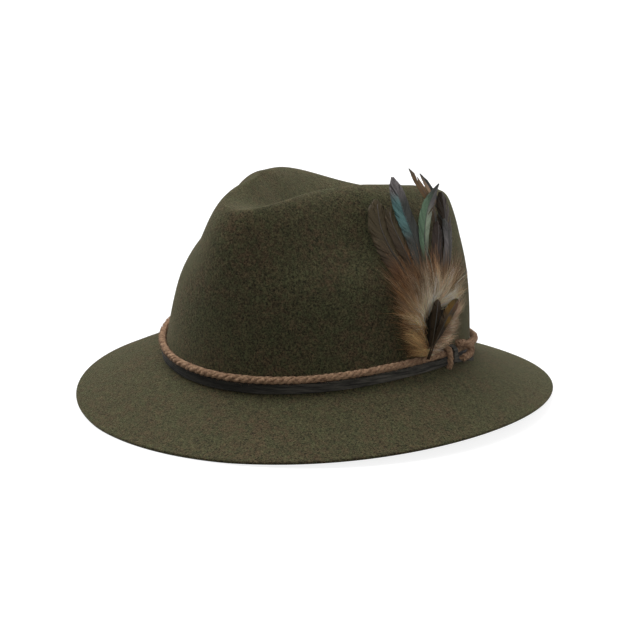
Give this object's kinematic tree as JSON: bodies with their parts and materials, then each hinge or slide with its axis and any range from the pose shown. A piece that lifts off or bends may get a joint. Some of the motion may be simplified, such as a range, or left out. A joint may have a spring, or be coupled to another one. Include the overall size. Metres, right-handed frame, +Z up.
{
  "type": "tyrolean hat",
  "caption": "Felt hat with a dented, pinched crown, a sloping brim, a cord and strap round the crown, and a feather and fur plume at the wearer's left.",
  "frame": {"origin": "middle of the brim on the plane that the hat rests on", "axes": "+Z up, +Y towards the back of the hat, so its front faces -Y; +X towards the wearer's left, where the plume is"},
  "size_m": [0.2778, 0.309, 0.1441],
  "materials": {
    "felt": "matte mottled olive wool felt",
    "cord": "matte fuzzy twisted wool cord",
    "strap": "dark ridged leather, low sheen",
    "brown_feather": "brown feather, soft sheen",
    "dark_feather": "purple-black feather, soft sheen",
    "shiny_feather": "teal and green feather with a silky sheen",
    "fur": "soft tan and brown fur"
  },
  "bodies": {
    "root": {"felt_body": "felt", "cord": "cord", "strap": "strap", "cord_wrap": "cord", "strap_wrap": "strap", "cord_end": "cord", "strap_tail": "strap", "feather_broad_olive": "brown_feather", "feather_tan_spike": "brown_feather", "feather_purple_black": "dark_feather", "feather_brown_teal": "brown_feather", "feather_plum": "dark_feather", "feather_teal": "shiny_feather", "feather_grey_spike": "dark_feather", "feather_green": "shiny_feather", "feather_slate": "dark_feather", "fur": "fur", "small_feather_dark": "dark_feather", "small_feather_gold": "brown_feather"}
  },
  "joints": []
}
